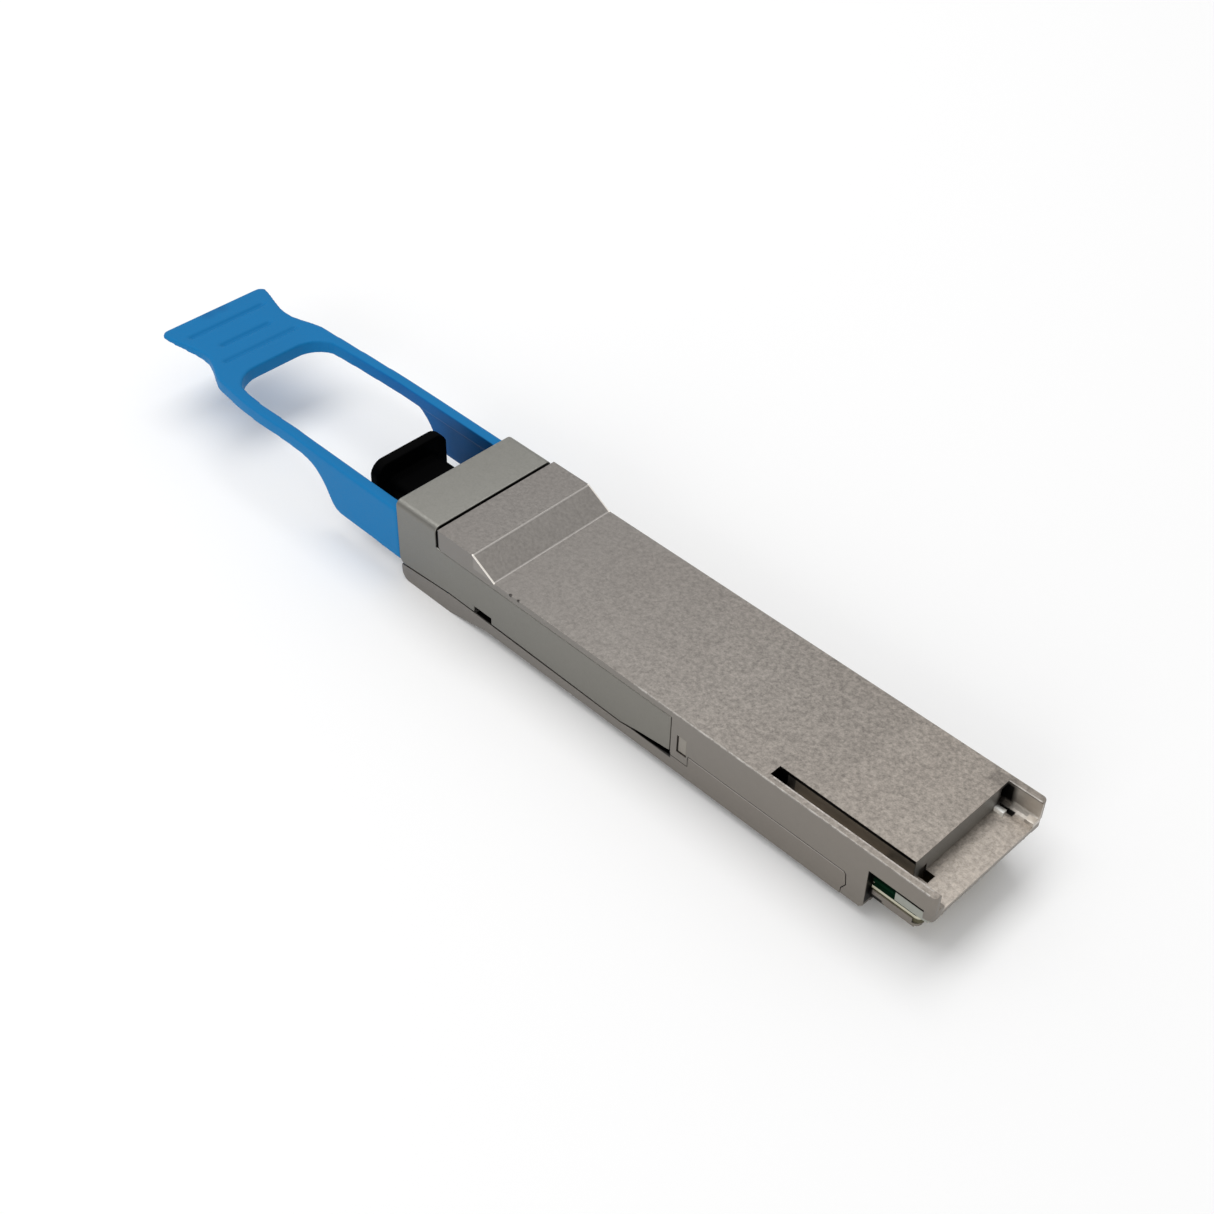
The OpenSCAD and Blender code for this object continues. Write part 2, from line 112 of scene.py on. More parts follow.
world = bpy.data.worlds.new("studio")
scene.world = world
world.use_nodes = True
wn = world.node_tree.nodes
bg = wn["Background"]
bg.inputs["Color"].default_value = (1.0, 1.0, 1.0, 1)
bg.inputs["Strength"].default_value = 0.60


def area(name, loc, target, size, power, color=(1, 1, 1), size_y=None):
    d = bpy.data.lights.new(name, "AREA")
    d.energy = power
    d.color = color
    d.shape = "RECTANGLE"
    d.size = size
    d.size_y = size_y or size
    o = bpy.data.objects.new(name, d)
    o.location = loc
    dirv = (Vector(target) - Vector(loc)).normalized()
    o.rotation_euler = dirv.to_track_quat("-Z", "Y").to_euler()
    scene.collection.objects.link(o)
    return o


# a wide softbox overhead and a weak fill low in front
area("overhead", (-0.25, 0.02, 0.80), (-0.25, 0.02, 0.0), 0.50, 3.7, size_y=1.0)
area("fill", (0.25, -0.95, 0.35), (0, 0, 0), 0.6, 2.8)


# --------------------------------------------------------------- materials
def new_mat(name):
    m = bpy.data.materials.new(name)
    m.use_nodes = True
    nt = m.node_tree
    b = nt.nodes["Principled BSDF"]
    return m, nt, b


def coords(nt, scale=(1, 1, 1), rot=(0, 0, 0)):
    tc = nt.nodes.new("ShaderNodeTexCoord")
    mp = nt.nodes.new("ShaderNodeMapping")
    mp.inputs["Scale"].default_value = scale
    mp.inputs["Rotation"].default_value = rot
    nt.links.new(tc.outputs["Object"], mp.inputs["Vector"])
    return mp.outputs["Vector"]


def noise(nt, vec, scale, detail=2.0, rough=0.5):
    n = nt.nodes.new("ShaderNodeTexNoise")
    n.inputs["Scale"].default_value = scale
    n.inputs["Detail"].default_value = detail
    n.inputs["Roughness"].default_value = rough
    nt.links.new(vec, n.inputs["Vector"])
    return n.outputs["Fac"]


def ramp(nt, fac, stops):
    r = nt.nodes.new("ShaderNodeValToRGB")
    el = r.color_ramp.elements
    while len(el) < len(stops):
        el.new(0.5)
    for e, (p, c) in zip(el, stops):
        e.position = p
        e.color = (c[0], c[1], c[2], 1) if len(c) == 3 else c
    nt.links.new(fac, r.inputs["Fac"])
    return r.outputs["Color"]


def mix(nt, a, b, fac, mode="MIX"):
    n = nt.nodes.new("ShaderNodeMix")
    n.data_type = "RGBA"
    n.blend_type = mode
    for sock, v in ((n.inputs[0], fac), (n.inputs[6], a), (n.inputs[7], b)):
        if isinstance(v, (int, float)):
            sock.default_value = v
        elif isinstance(v, tuple):
            sock.default_value = (v[0], v[1], v[2], 1)
        else:
            nt.links.new(v, sock)
    return n.outputs[2]


def maprange(nt, v, a, b, c, d):
    n = nt.nodes.new("ShaderNodeMapRange")
    n.inputs["From Min"].default_value = a
    n.inputs["From Max"].default_value = b
    n.inputs["To Min"].default_value = c
    n.inputs["To Max"].default_value = d
    nt.links.new(v, n.inputs["Value"])
    return n.outputs["Result"]


def math2(nt, op, a, b):
    n = nt.nodes.new("ShaderNodeMath")
    n.operation = op
    for sock, v in zip(n.inputs, (a, b)):
        if isinstance(v, (int, float)):
            sock.default_value = v
        else:
            nt.links.new(v, sock)
    return n.outputs[0]


def axis_of(nt, vec, axis):
    n = nt.nodes.new("ShaderNodeSeparateXYZ")
    nt.links.new(vec, n.inputs[0])
    return n.outputs[axis]


def facing_up(nt, lo=0.55, hi=0.92):
    """1 on faces that look up, 0 on the sides."""
    g = nt.nodes.new("ShaderNodeNewGeometry")
    return maprange(nt, axis_of(nt, g.outputs["True Normal"], 2), lo, hi, 0.0, 1.0)


def spot(nt, vec, centre, radius, soft=0.5):
    """1 inside a small ball round a point, fading to 0."""
    n = nt.nodes.new("ShaderNodeVectorMath")
    n.operation = "DISTANCE"
    nt.links.new(vec, n.inputs[0])
    n.inputs[1].default_value = centre
    return maprange(nt, n.outputs["Value"], radius * (1 - soft), radius, 1.0, 0.0)


def bump(nt, height, strength, dist, prev=None):
    n = nt.nodes.new("ShaderNodeBump")
    n.inputs["Distance"].default_value = dist
    if isinstance(strength, (int, float)):
        n.inputs["Strength"].default_value = strength
    else:
        nt.links.new(strength, n.inputs["Strength"])
    nt.links.new(height, n.inputs["Height"])
    if prev is not None:
        nt.links.new(prev, n.inputs["Normal"])
    return n.outputs["Normal"]


def col(c, k):
    return tuple(min(1.0, max(0.0, x * k)) for x in c)


def band(nt, x, lo, hi, soft):
    """1 between lo and hi along one coordinate, with soft ends."""
    a = maprange(nt, x, lo - soft, lo + soft, 0.0, 1.0)
    b = maprange(nt, x, hi - soft, hi + soft, 1.0, 0.0)
    return math2(nt, "MULTIPLY", a, b)


def block(nt, v, lo, hi, soft=0.00006):
    """1 inside a box with soft faces, in metres."""
    out = None
    for i in range(3):
        if lo[i] is None:
            continue
        k = band(nt, axis_of(nt, v, i), lo[i] * MM, hi[i] * MM, soft)
        out = k if out is None else math2(nt, "MULTIPLY", out, k)
    return out


def shell_metal(name, top, side, rough_top, rough_side, grain=2400.0, amp=0.10, bump_top=0.5, bump_side=0.12, pits=(), dark=(), edge_highlights=(), lit=(), fade=None, ridge=False, gain=()):
    """Plated die casting: a blasted grain on the faces that look up, and smoother sides. The sides get a darker base
    colour than the tops as painted shade, and the masks below paint extra light, highlights and shade.
    """
    m, nt, b = new_mat(name)
    v = coords(nt)
    up = facing_up(nt)
    g1 = noise(nt, v, grain, 3.0, 0.7)
    g2 = noise(nt, v, grain * 0.33, 2.0, 0.5)
    big = noise(nt, v, 55.0, 3.0, 0.5)
    rub = noise(nt, coords(nt, (1, 14, 14)), 140.0, 3.0, 0.6)
    c_top = ramp(nt, g1, [(0.30, col(top, 1 - amp * 1.9)), (0.5, top), (0.70, col(top, 1 + amp * 2.1))])
    # painted glint: the top grain's contrast drops to a third near the nose and is full toward the rear, where the
    # grain catches more light
    if fade:
        c_top = mix(nt, top, c_top, maprange(nt, axis_of(nt, v, 0), fade[0], fade[1], 0.35, 1.0))
    c_side = ramp(nt, g1, [(0.28, col(side, 1 - amp * 0.35)), (0.72, col(side, 1 + amp * 0.35))])
    c = mix(nt, c_side, c_top, up)
    c = mix(nt, c, ramp(nt, g2, [(0.35, (0.985, 0.985, 0.985)), (0.65, (1.0, 1.0, 1.0))]), 1.0, "MULTIPLY")
    c = mix(nt, c, ramp(nt, big, [(0.3, (0.96, 0.95, 0.945)), (0.7, (1.0, 1.0, 1.0))]), 1.0, "MULTIPLY")
    warm = maprange(nt, axis_of(nt, v, 0), -0.004, 0.058, 0.0, 1.0)
    c = mix(nt, c, mix(nt, c, (1.0, 0.955, 0.90), 1.0, "MULTIPLY"), warm)
    # painted light: boxes where the colour is multiplied brighter, on the ramp, the floor of the rear recess and the
    # rear of the top plate
    for lo, hi, k in gain:
        c = mix(nt, c, mix(nt, c, (k, k, k), 1.0, "MULTIPLY"), block(nt, v, lo, hi, 0.00012))
    # painted light: flat lighter colours on the end wall, a small block and the far rail's inside face in the rear
    # recess, below the near rail, and on the groove's far wall
    for lo, hi, shade in lit:
        c = mix(nt, c, shade, block(nt, v, lo, hi))
    # painted highlights: pale lines painted over edges, some made patchy with noise
    for lo, hi, shade, patchiness in edge_highlights:
        k = block(nt, v, lo, hi, 0.00004)
        if patchiness:
            k = math2(nt, "MULTIPLY", k, maprange(nt, noise(nt, v, 1700.0, 3.0, 0.7), 0.5 - patchiness, 0.5 + patchiness, 0.0, 1.0))
        c = mix(nt, c, shade, k)
    if ridge:
        # painted highlight: the slanted edge of the ramp on both sides is painted near white
        xz = math2(nt, "ADD", axis_of(nt, v, 2), math2(nt, "MULTIPLY", axis_of(nt, v, 0), 0.58))
        ay = math2(nt, "ABSOLUTE", axis_of(nt, v, 1), 0.0)
        k = math2(nt, "MULTIPLY", band(nt, xz, 0.00835, 0.00862, 0.00004), band(nt, ay, 0.00902, 0.00925, 0.00003))
        k = math2(nt, "MULTIPLY", k, band(nt, axis_of(nt, v, 0), -0.0036, 0.0001, 0.00005))
        c = mix(nt, c, (1.0, 0.95, 0.88), k)
    # painted shade: near-black boxes over gaps and hollows
    for lo, hi, soft in dark:
        c = mix(nt, c, (0.010, 0.009, 0.008), block(nt, v, lo, hi, soft))
    c = mix(nt, c, ramp(nt, rub, [(0.62, (1.0, 1.0, 1.0)), (0.80, (0.94, 0.94, 0.94))]), 0.6, "MULTIPLY")
    for centre, radius in pits:
        c = mix(nt, c, (0.05, 0.045, 0.04), spot(nt, v, centre, radius))
    nt.links.new(c, b.inputs["Base Color"])
    b.inputs["Metallic"].default_value = 0.92
    r = maprange(nt, g1, 0.3, 0.7, -0.07, 0.07)
    r2 = math2(nt, "ADD", maprange(nt, up, 0.0, 1.0, rough_side, rough_top), r)
    nt.links.new(r2, b.inputs["Roughness"])
    n1 = bump(nt, g1, maprange(nt, up, 0.0, 1.0, bump_side, bump_top), 0.00004)
    nt.links.new(n1, b.inputs["Normal"])
    return m


def edge_metal(name, base, rough=0.30):
    """The same plating on bevelled edges: smoother where handling has polished it, and with a lighter base colour that
    is a painted highlight.
    """
    m, nt, b = new_mat(name)
    v = coords(nt)
    g = noise(nt, v, 900.0, 3.0, 0.6)
    nt.links.new(ramp(nt, g, [(0.3, col(base, 0.80)), (0.7, col(base, 1.08))]), b.inputs["Base Color"])
    b.inputs["Metallic"].default_value = 1.0
    nt.links.new(maprange(nt, g, 0.3, 0.7, rough - 0.06, rough + 0.10), b.inputs["Roughness"])
    nt.links.new(bump(nt, g, 0.15, 0.00002), b.inputs["Normal"])
    return m


def fine_metal(name, base, rough=0.3, grain=2600.0, amp=0.04, bump_s=0.1, metal=1.0, stretch=(1, 1, 1)):
    m, nt, b = new_mat(name)
    v = coords(nt, stretch)
    g1 = noise(nt, v, grain, 3.0, 0.6)
    big = noise(nt, coords(nt), 150.0, 3.0, 0.5)
    c = ramp(nt, g1, [(0.3, col(base, 1 - amp)), (0.7, col(base, 1 + amp))])
    c = mix(nt, c, ramp(nt, big, [(0.3, (0.9, 0.9, 0.9)), (0.7, (1.0, 1.0, 1.0))]), 0.7, "MULTIPLY")
    nt.links.new(c, b.inputs["Base Color"])
    b.inputs["Metallic"].default_value = metal
    nt.links.new(maprange(nt, g1, 0.3, 0.7, rough - 0.06, rough + 0.08), b.inputs["Roughness"])
    nt.links.new(bump(nt, g1, bump_s, 0.00003), b.inputs["Normal"])
    return m


def moulded(name, base, rough=0.45, grain=5000.0, amp=0.03, bump_s=0.15, spec=0.5, coat=0.0, mottle=0.05, marks=(), inner_shade=None):
    m, nt, b = new_mat(name)
    v = coords(nt)
    g1 = noise(nt, v, grain, 2.0, 0.6)
    big = noise(nt, v, 90.0, 3.0, 0.55)
    c = ramp(nt, g1, [(0.3, col(base, 1 - amp)), (0.7, col(base, 1 + amp))])
    c = mix(nt, c, ramp(nt, big, [(0.3, (1 - mottle,) * 3), (0.7, (1.0, 1.0, 1.0))]), 1.0, "MULTIPLY")
    for centre, radius, shade in marks:
        c = mix(nt, c, shade, spot(nt, v, centre, radius, 0.9))
    if inner_shade:
        # painted shade: the far arm's face that looks away from the camera is painted a darker blue, darker still
        # toward the hood, for the hood's shade
        g = nt.nodes.new("ShaderNodeNewGeometry")
        ny = maprange(nt, axis_of(nt, g.outputs["Normal"], 1), -0.9, -0.5, 1.0, 0.0)
        k = math2(nt, "MULTIPLY", ny, maprange(nt, axis_of(nt, v, 1), 0.0070, 0.0076, 0.0, 1.0))
        near = maprange(nt, axis_of(nt, v, 0), -0.031, -0.018, 0.0, 1.0)
        c = mix(nt, c, mix(nt, inner_shade, col(inner_shade, 0.35), near), k)
    nt.links.new(c, b.inputs["Base Color"])
    r = maprange(nt, g1, 0.3, 0.7, rough - 0.05, rough + 0.06)
    r = math2(nt, "ADD", r, maprange(nt, big, 0.3, 0.7, -0.03, 0.04))
    nt.links.new(r, b.inputs["Roughness"])
    b.inputs["Specular IOR Level"].default_value = spec
    b.inputs["Coat Weight"].default_value = coat
    nt.links.new(bump(nt, g1, bump_s, 0.00002), b.inputs["Normal"])
    return m


def board_mask(name):
    """Solder mask with fine traces under it, and bare laminate on the cut edges."""
    m, nt, b = new_mat(name)
    v = coords(nt)
    g = nt.nodes.new("ShaderNodeNewGeometry")
    nz = math2(nt, "ABSOLUTE", axis_of(nt, g.outputs["True Normal"], 2), 0.0)
    flat = maprange(nt, nz, 0.4, 0.6, 0.0, 1.0)
    g1 = noise(nt, v, 1800.0, 2.0, 0.6)
    wv = nt.nodes.new("ShaderNodeTexWave")
    wv.wave_type = "BANDS"
    wv.bands_direction = "Y"
    wv.inputs["Scale"].default_value = 395.0
    wv.inputs["Distortion"].default_value = 0.0
    nt.links.new(v, wv.inputs["Vector"])
    lines = maprange(nt, wv.outputs["Fac"], 0.72, 0.80, 0.0, 1.0)
    x = axis_of(nt, v, 0)
    near = math2(nt, "MULTIPLY", maprange(nt, x, 0.050, 0.0505, 0.0, 1.0), maprange(nt, x, 0.0592, 0.0594, 1.0, 0.0))
    # a dark green solder mask, painted darker still as painted shade for the board inside the housing
    mask = mix(nt, (0.0032, 0.026, 0.011), (0.0055, 0.042, 0.018), g1)
    mask = mix(nt, mask, (0.012, 0.075, 0.034), math2(nt, "MULTIPLY", lines, near))
    z = axis_of(nt, v, 2)
    fibre = noise(nt, coords(nt, (1, 1, 9)), 1500.0, 3.0, 0.6)
    light = mix(nt, (0.42, 0.40, 0.30), (0.56, 0.54, 0.43), fibre)
    dark = mix(nt, (0.045, 0.04, 0.018), (0.085, 0.075, 0.035), fibre)
    # painted highlight: the cut edge is pale along its top, where it catches light, and dark olive below
    edge = mix(nt, dark, light, maprange(nt, z, 0.00272, 0.00284, 0.0, 1.0))
    nt.links.new(mix(nt, edge, mask, flat), b.inputs["Base Color"])
    nt.links.new(maprange(nt, flat, 0.0, 1.0, 0.75, 0.38), b.inputs["Roughness"])
    h = math2(nt, "ADD", g1, math2(nt, "MULTIPLY", lines, near))
    nt.links.new(bump(nt, h, 0.2, 0.00003), b.inputs["Normal"])
    return m


PITS = [((0.00273, -0.00915, 0.00846), 0.00030), ((0.0040, -0.00915, 0.00846), 0.00026)]
# painted shade: gaps and hollows painted near black as if never lit: the seam round the nose, the notch and slit under
# the arm, the corners of the recess
SEAM = ((-9.93, -9.3, 7.68), (-9.36, 9.3, 10.42), 0.00006)
UNDER_ARM = ((21.4, -9.30, 1.50), (27.72, -8.0, 2.30), 0.00006)
NOTCH = ((-3.4, -9.05, 0.0), (1.0, -7.2, 2.6), 0.00006)
TUNNEL = ((56.0, 6.9, 5.80), (58.9, 8.9, 8.34), 0.00032)
GROOVE_TOP = ((40.7, -6.86, 8.05), (57.80, -6.74, 8.42), 0.00006)
GROOVE_END = ((40.4, -8.4, 5.0), (41.6, -6.7, 8.42), 0.00006)
WINDOW = ((57.75, -5.97, 3.0), (59.08, -4.68, 5.57), 0.00006)
SLIT = ((57.85, 7.0, 3.0), (59.75, 7.68, 5.85), 0.00006)
CAVITY = ((48.0, -7.85, 3.3), (57.0, 7.85, 5.0), 0.00006)
BEHIND_RAIL = ((54.2, -8.9, 4.41), (61.0, -7.6, 6.0), 0.00006)
CUTOUT = ((54.15, -9.05, 0.9), (55.9, -7.0, 2.12), 0.00006)
CUTOUT_WALL = ((54.18, -9.05, 0.9), (54.6, -7.0, 6.0), 0.00006)
# painted highlights: pale lines along edges where light glints, some broken up with noise
PALE = (0.47, 0.445, 0.42)
RAMP_TOP = ((-3.53, -9.3, 10.38), (-3.32, 9.3, 10.60), PALE, 0)
RAMP_FOOT = ((-0.10, -9.3, 8.42), (0.10, 9.3, 8.60), PALE, 0)
NEAR_EDGE = ((22.0, -9.3, 8.36), (61.3, -9.05, 8.6), (0.46, 0.44, 0.41), 0.14)
RAIL_INNER = ((41.0, -8.52, 8.44), (61.3, -8.32, 8.6), (0.52, 0.49, 0.46), 0.22)
FAR_INNER = ((57.9, 8.28, 8.40), (61.9, 8.46, 8.6), (0.72, 0.69, 0.65), 0.3)
STRIP = ((30.3, -9.3, 3.34), (51.5, -9.1, 3.46), (0.42, 0.39, 0.36), 0)
# each shell's top colour is lighter than its side colour: painted light on the tops and painted shade on the sides
M = {
    "shell_cast": shell_metal("shell_cast", (0.262, 0.246, 0.230), (0.232, 0.220, 0.205), 0.40, 0.42, amp=0.17, pits=PITS, fade=(0.002, 0.030),
                              dark=[SEAM, UNDER_ARM, TUNNEL, GROOVE_TOP, GROOVE_END, WINDOW, SLIT, CAVITY, BEHIND_RAIL, CUTOUT, CUTOUT_WALL],
                              edge_highlights=[RAMP_TOP, RAMP_FOOT, NEAR_EDGE, RAIL_INNER, FAR_INNER], ridge=True,
                              gain=[((-3.4, -9.3, 8.52), (-0.02, 9.3, 10.45), 1.28), ((57.95, -7.6, 5.4), (62.3, 7.6, 5.75), 1.52),
                                    ((46.0, -8.4, 8.3), (57.9, 9.3, 8.6), 1.10), ((52.0, -8.4, 8.3), (57.9, 9.3, 8.6), 1.06)],
                              lit=[((57.80, -6.9, 5.7), (57.95, 8.4, 8.40), (0.30, 0.295, 0.28)),
                                   ((57.95, 6.3, 5.62), (59.2, 7.0, 6.2), (0.80, 0.80, 0.77)),
                                   ((57.9, 7.2, 5.62), (62.2, 8.45, 8.35), (0.55, 0.51, 0.46)),
                                   ((56.9, -8.5, 3.2), (62.2, -7.9, 4.41), (0.36, 0.37, 0.33)),
                                   ((42.6, -6.86, 5.0), (57.80, -6.74, 8.05), (0.60, 0.53, 0.44))]),
    "shell_side": shell_metal("shell_side", (0.33, 0.315, 0.30), (0.228, 0.214, 0.198), 0.40, 0.42, amp=0.06, dark=[NOTCH, UNDER_ARM, CUTOUT, CUTOUT_WALL], edge_highlights=[STRIP]),
    "slider_metal": shell_metal("slider_metal", (0.295, 0.292, 0.268), (0.212, 0.208, 0.190), 0.36, 0.38, grain=3600.0, amp=0.03, bump_top=0.12, bump_side=0.08,
                                dark=[SEAM]),
    # painted light: the latch pads sit recessed in shade, so they are painted lighter than the shell sides round them
    "latch_pad": shell_metal("latch_pad", (0.33, 0.315, 0.30), (0.30, 0.285, 0.26), 0.40, 0.42, amp=0.05),
    "tab_plastic": moulded("tab_plastic", (0.0050, 0.165, 0.405), rough=0.50, spec=0.12, amp=0.02, bump_s=0.10, inner_shade=(0.0015, 0.105, 0.33),
                           marks=[((-0.0652, -0.0012, 0.0090), 0.0016, (0.004, 0.125, 0.33)), ((-0.0652, 0.0010, 0.0090), 0.0015, (0.004, 0.125, 0.33))]),
    "plug_rubber": moulded("plug_rubber", (0.0008, 0.0008, 0.0009), rough=0.58, amp=0.20, bump_s=0.35, spec=0.018, mottle=0.2),
    "port_plastic": moulded("port_plastic", (0.02, 0.02, 0.022), rough=0.5, bump_s=0.25),
    "ceramic": moulded("ceramic", (0.80, 0.80, 0.76), rough=0.15, bump_s=0.02, amp=0.01, mottle=0.02),
    "gold_plate": fine_metal("gold_plate", (0.80, 0.56, 0.20), rough=0.26, amp=0.05, bump_s=0.08),
    "bright_metal": fine_metal("bright_metal", (0.62, 0.62, 0.61), rough=0.30, stretch=(1, 8, 1)),
    "flex_film": moulded("flex_film", (0.50, 0.20, 0.035), rough=0.3, mottle=0.1),
    "board_green": board_mask("board_green"),
    "chip_black": moulded("chip_black", (0.018, 0.018, 0.020), rough=0.55, bump_s=0.3, amp=0.1),
    "passive_parts": moulded("passive_parts", (0.20, 0.125, 0.07), rough=0.45, amp=0.1),
    "thermal_pad": moulded("thermal_pad", (0.26, 0.33, 0.41), rough=0.8, amp=0.10, bump_s=0.5, mottle=0.12),
    "spring_steel": fine_metal("spring_steel", (0.60, 0.60, 0.61), rough=0.24, bump_s=0.05, stretch=(3, 1, 1)),
    "screw_dark": fine_metal("screw_dark", (0.16, 0.155, 0.15), rough=0.38, amp=0.08),
    "gasket_rubber": moulded("gasket_rubber", (0.035, 0.035, 0.038), rough=0.75, amp=0.12, bump_s=0.5),
}
EDGE = edge_metal("polished_edge_highlight", (0.40, 0.38, 0.36))
TIN = fine_metal("tinned_end", (0.62, 0.61, 0.58), rough=0.35)

slot_of = {s["node"]: s["material_slot"] for s in frame["record"]["subparts"]}
for name, o in N.items():
    o.data.materials.clear()
    o.data.materials.append(M["latch_pad"] if name.startswith("side_latch_pad") else M[slot_of[name]])


def soften(o, width, segments=2, angle=24.0, edge=None):
    """Breaks the sharp edges of a CAD node with modifiers, and leaves its own mesh alone."""
    w = o.modifiers.new("weld", "WELD")
    w.merge_threshold = 0.000002
    d = o.modifiers.new("flat", "DECIMATE")
    d.decimate_type = "DISSOLVE"
    d.angle_limit = math.radians(1.0)
    bv = o.modifiers.new("edge", "BEVEL")
    bv.width = width
    bv.segments = segments
    bv.limit_method = "ANGLE"
    bv.angle_limit = math.radians(angle)
    bv.harden_normals = False
    bv.use_clamp_overlap = True
    if edge is not None:
        o.data.materials.append(edge)
        bv.material = 1
    t = o.modifiers.new("tri", "TRIANGULATE")
    t.keep_custom_normals = True
    for p in o.data.polygons:
        p.use_smooth = True
    ns = o.modifiers.new("normals", "WEIGHTED_NORMAL")
    ns.keep_sharp = False


soften(N["upper_housing"], 0.00014, angle=17.0, edge=EDGE)
soften(N["lower_housing"], 0.00012)
soften(N["release_slider"], 0.00014)
for n, wd in (("lc_receptacle", 0.0001), ("transmit_optics", 0.00015), ("receive_optics", 0.00015), ("signal_processor", 0.0001),
              ("laser_driver", 0.00008), ("receive_amplifier", 0.00008), ("control_chip", 0.00008), ("cover_screws", 0.00008),
              ("side_latch_pad_left", 0.0001), ("side_latch_pad_right", 0.0001), ("ferrule_sleeve_tx", 0.00008), ("ferrule_sleeve_rx", 0.00008),
              ("thermal_pad_processor", 0.00015), ("thermal_pad_optics", 0.00010), ("optics_clamp", 0.00008), ("shield_gasket", 0.00012)):
    soften(N[n], wd)


# --------------------------------------------------------------- pieces
def piece(name, mesh, mats, body, replaces=()):
    o = bpy.data.objects.new(name, mesh)
    scene.collection.objects.link(o)
    for m in mats:
        mesh.materials.append(m)
    for p in mesh.polygons:
        p.use_smooth = True
    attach(o, body)
    if replaces:
        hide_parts(*replaces)
    return o


def soft_copy(name, node, voxel, rounds, factor=0.5):
    """A closed, evenly meshed copy of a CAD node with soft edges, as a mesh."""
    src = N[node]
    me = src.data.copy()
    me.transform(src.matrix_world)
    me.materials.clear()
    tmp = bpy.data.objects.new(name + "_tmp", me)
    scene.collection.objects.link(tmp)
    w = tmp.modifiers.new("weld", "WELD")
    w.merge_threshold = 0.000002
    r = tmp.modifiers.new("voxel", "REMESH")
    r.mode = "VOXEL"
    r.voxel_size = voxel
    sm = tmp.modifiers.new("smooth", "SMOOTH")
    sm.factor = factor
    sm.iterations = rounds
    dg = bpy.context.evaluated_depsgraph_get()
    out = bpy.data.meshes.new_from_object(tmp.evaluated_get(dg))
    out.name = name
    bpy.data.objects.remove(tmp)
    out.materials.clear()
    return out


def hump(t):
    return 0.0 if abs(t) >= 1 else (1 - t * t) ** 2


def ease(t):
    t = max(0.0, min(1.0, t))
    return t * t * (3 - 2 * t)


GRIPS = [(-62.2, 6.0), (-58.2, 4.1), (-55.1, 6.0)]


def make_tab():
    me = soft_copy("soft_tab", "pull_tab", 0.00019, 9)
    for v in me.vertices:
        x, y, z = v.co.x * 1000, v.co.y * 1000, v.co.z * 1000
        # moulded grip grooves, soft at their ends
        for gx, gy in GRIPS:
            d = abs(x - gx)
            if d < 1.2 and abs(y) < gy + 0.8:
                k = math.exp(-(d / 0.42) ** 2) * ease((gy + 0.5 - abs(y)) / 1.0)
                z += (-0.16 if z > 8.0 else 0.06) * k
        # the tip lifts a little, and the straps flex
        if x < -52:
            z += 0.30 * ease((-52 - x) / 13.5)
        if y < 0:
            out = hump((x + 46.0) / 9.5)
            y -= 0.46 * out * min(1.0, -y / 6.0)
            inn = hump((x + 56.5) / 4.5)
            y += 0.35 * inn * min(1.0, -y / 6.5)
            y = max(y, -9.17)
        v.co = (x / 1000, y / 1000, z / 1000)
    return piece("soft_tab", me, [M["tab_plastic"]], "slider", ("pull_tab",))


def make_plug():
    me = soft_copy("rubber_plug", "dust_plug", 0.00016, 7)
    for v in me.vertices:
        x, y, z = v.co.x * 1000, v.co.y * 1000, v.co.z * 1000
        # dish in the flange's outer face
        if x < -26.0 and abs(y) < 4.4 and abs(z - 4.5) < 3.0:
            e = min(4.4 - abs(y), 3.0 - abs(z - 4.5))
            x += 0.3 * ease(e / 0.9)
        v.co = (x / 1000, y / 1000, z / 1000)
    return piece("rubber_plug", me, [M["plug_rubber"]], "plug", ("dust_plug",))


def make_spring(name, node, y0):
    """Round-wire coil with closed ends, between the pocket wall and the slider's lug."""
    x0, x1, zc, R, w, turns = 0.0030, 0.0131, 0.0046, 0.00059, 0.000125, 8.0
    per, sides = 28, 12
    n = int(turns * per)
    bm = bmesh.new()
    rings = []

    def along(t):
        # closed coils at both ends
        u = t * turns
        pitch_end = 2.1 * w
        if u < 1.0:
            return x0 + w + pitch_end * u
        if u > turns - 1.0:
            return x1 - w - pitch_end * (turns - u)
        k = (u - 1.0) / (turns - 2.0)
        a, b = x0 + w + pitch_end, x1 - w - pitch_end
        return a + (b - a) * k

    def centre(i):
        t = i / n
        a = 2 * math.pi * turns * t
        return Vector((along(t), y0 + R * math.cos(a), zc + R * math.sin(a)))

    for i in range(n + 1):
        c = centre(i)
        tang = (centre(min(n, i + 1)) - centre(max(0, i - 1))).normalized()
        out = Vector((0, c.y - y0, c.z - zc)).normalized()
        out = (out - tang * out.dot(tang)).normalized()
        up = tang.cross(out)
        rings.append([bm.verts.new(c + (out * math.cos(2 * math.pi * k / sides) + up * math.sin(2 * math.pi * k / sides)) * w) for k in range(sides)])
    for i in range(n):
        for k in range(sides):
            a, b = rings[i], rings[i + 1]
            bm.faces.new((a[k], a[(k + 1) % sides], b[(k + 1) % sides], b[k]))
    bm.faces.new(list(reversed(rings[0])))
    bm.faces.new(rings[-1])
    bmesh.ops.recalc_face_normals(bm, faces=bm.faces)
    me = bpy.data.meshes.new(name)
    bm.to_mesh(me)
    bm.free()
    o = piece(name, me, [M["spring_steel"]], "housing", (node,))
    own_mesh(o)
    return o


def add_box(bm, lo, hi, bev, mat):
    before = set(bm.verts)
    r = bmesh.ops.create_cube(bm, size=1.0)
    vs = r["verts"]
    for v in vs:
        v.co = Vector(((lo[i] + hi[i]) / 2 + v.co[i] * (hi[i] - lo[i]) for i in range(3)))
    es = list({e for v in vs for e in v.link_edges})
    out = bmesh.ops.bevel(bm, geom=es, offset=bev, segments=2, affect="EDGES", profile=0.6)
    for f in {f for v in bm.verts if v not in before for f in v.link_faces}:
        f.material_index = mat


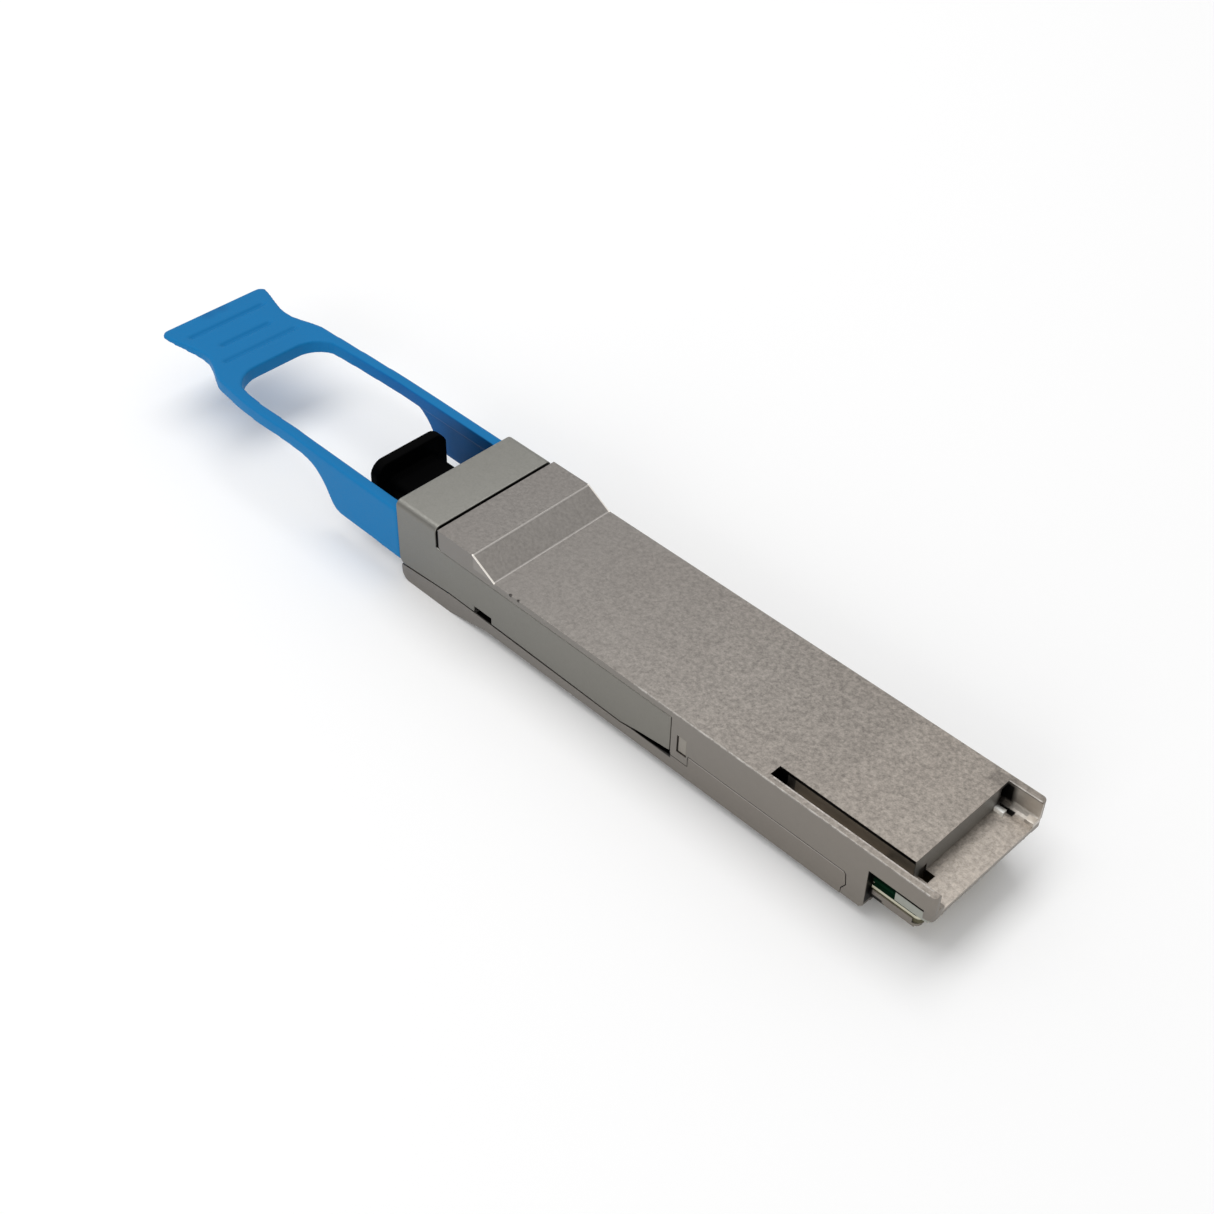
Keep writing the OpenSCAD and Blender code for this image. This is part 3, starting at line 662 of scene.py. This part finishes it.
def make_passives():
    """Chip parts with a ceramic body and two tinned ends each."""
    z0 = 3.16
    parts = []
    for i in range(7):
        parts += [(25 + 2 * i, 6.5, 1.0, 0.5, 0.49), (25 + 2 * i, -6.5, 1.0, 0.5, 0.49)]
    for i in range(4):
        for s in (-1, 1):
            parts.append((40.2, s * (1.2 + 1.4 * i), 0.5, 1.0, 0.49))
    for i in range(3):
        parts.append((49.4, -1.6 + 1.6 * i, 0.8, 1.2, 0.69))
    parts += [(20.8, 2.2, 2.5, 2.0, 1.19), (20.8, -2.2, 2.5, 2.0, 1.19)]
    bm = bmesh.new()
    for x, y, l, w, h in parts:
        a = 0 if l >= w else 1
        half = [l / 2, w / 2]
        e = 0.24 * max(l, w)
        lo, hi = [x - l / 2, y - w / 2, z0], [x + l / 2, y + w / 2, z0 + h]
        body_lo, body_hi = [c for c in lo], [c for c in hi]
        body_lo[a] += e * 0.8
        body_hi[a] -= e * 0.8
        body_hi[2] -= 0.02
        k = 1 - a
        body_lo[k] += 0.015
        body_hi[k] -= 0.015
        sc = lambda p: [c / 1000 for c in p]
        add_box(bm, sc(body_lo), sc(body_hi), 0.00003, 0)
        for side in (0, 1):
            l2, h2 = [c for c in lo], [c for c in hi]
            if side:
                l2[a] = hi[a] - e
            else:
                h2[a] = lo[a] + e
            add_box(bm, sc(l2), sc(h2), 0.00004, 1)
    me = bpy.data.meshes.new("chip_parts")
    bm.to_mesh(me)
    bm.free()
    return piece("chip_parts", me, [M["passive_parts"], TIN], "housing", ("board_passives",))


def make_contacts(name, node, top):
    """Gold pads with rounded corners and a slight crown, in two rows."""
    bm = bmesh.new()
    n = 19
    for k in range(n):
        y = (k - (n - 1) / 2) * 0.8
        for xa, xb in ((58.8, 60.0), (56.8, 58.3)):
            r = 0.12
            pts = []
            for cx, cy, a0 in ((xb - r, y + 0.27 - r, 0), (xa + r, y + 0.27 - r, 90), (xa + r, y - 0.27 + r, 180), (xb - r, y - 0.27 + r, 270)):
                for j in range(4):
                    a = math.radians(a0 + 30 * j)
                    pts.append((cx + r * math.cos(a), cy + r * math.sin(a)))
            zs = (3.15, 3.18, 3.19) if top else (2.15, 2.12, 2.11)
            loops = []
            for z, inset in ((zs[0], 0.0), (zs[1], 0.0), (zs[2], 0.03)):
                mx, my = (xa + xb) / 2, y
                loops.append([bm.verts.new(((mx + (px - mx) * (1 - inset / (abs(px - mx) + 1e-9)) if inset else px) / 1000,
                                            (my + (py - my) * (1 - inset / max(0.1, abs(py - my))) if inset else py) / 1000, z / 1000)) for px, py in pts])
            m = len(pts)
            for a, b in zip(loops, loops[1:]):
                for j in range(m):
                    bm.faces.new((a[j], a[(j + 1) % m], b[(j + 1) % m], b[j]))
            bm.faces.new(loops[0])
            bm.faces.new(list(reversed(loops[-1])))
    bmesh.ops.recalc_face_normals(bm, faces=bm.faces)
    me = bpy.data.meshes.new(name)
    bm.to_mesh(me)
    bm.free()
    return piece(name, me, [M["gold_plate"]], "housing", (node,))


tab = make_tab()
plug = make_plug()
make_spring("coil_right", "return_spring_right", 0.00733)
make_spring("coil_left", "return_spring_left", -0.00733)
make_passives()
make_contacts("gold_pads_top", "card_contacts_top", True)
make_contacts("gold_pads_bottom", "card_contacts_bottom", False)
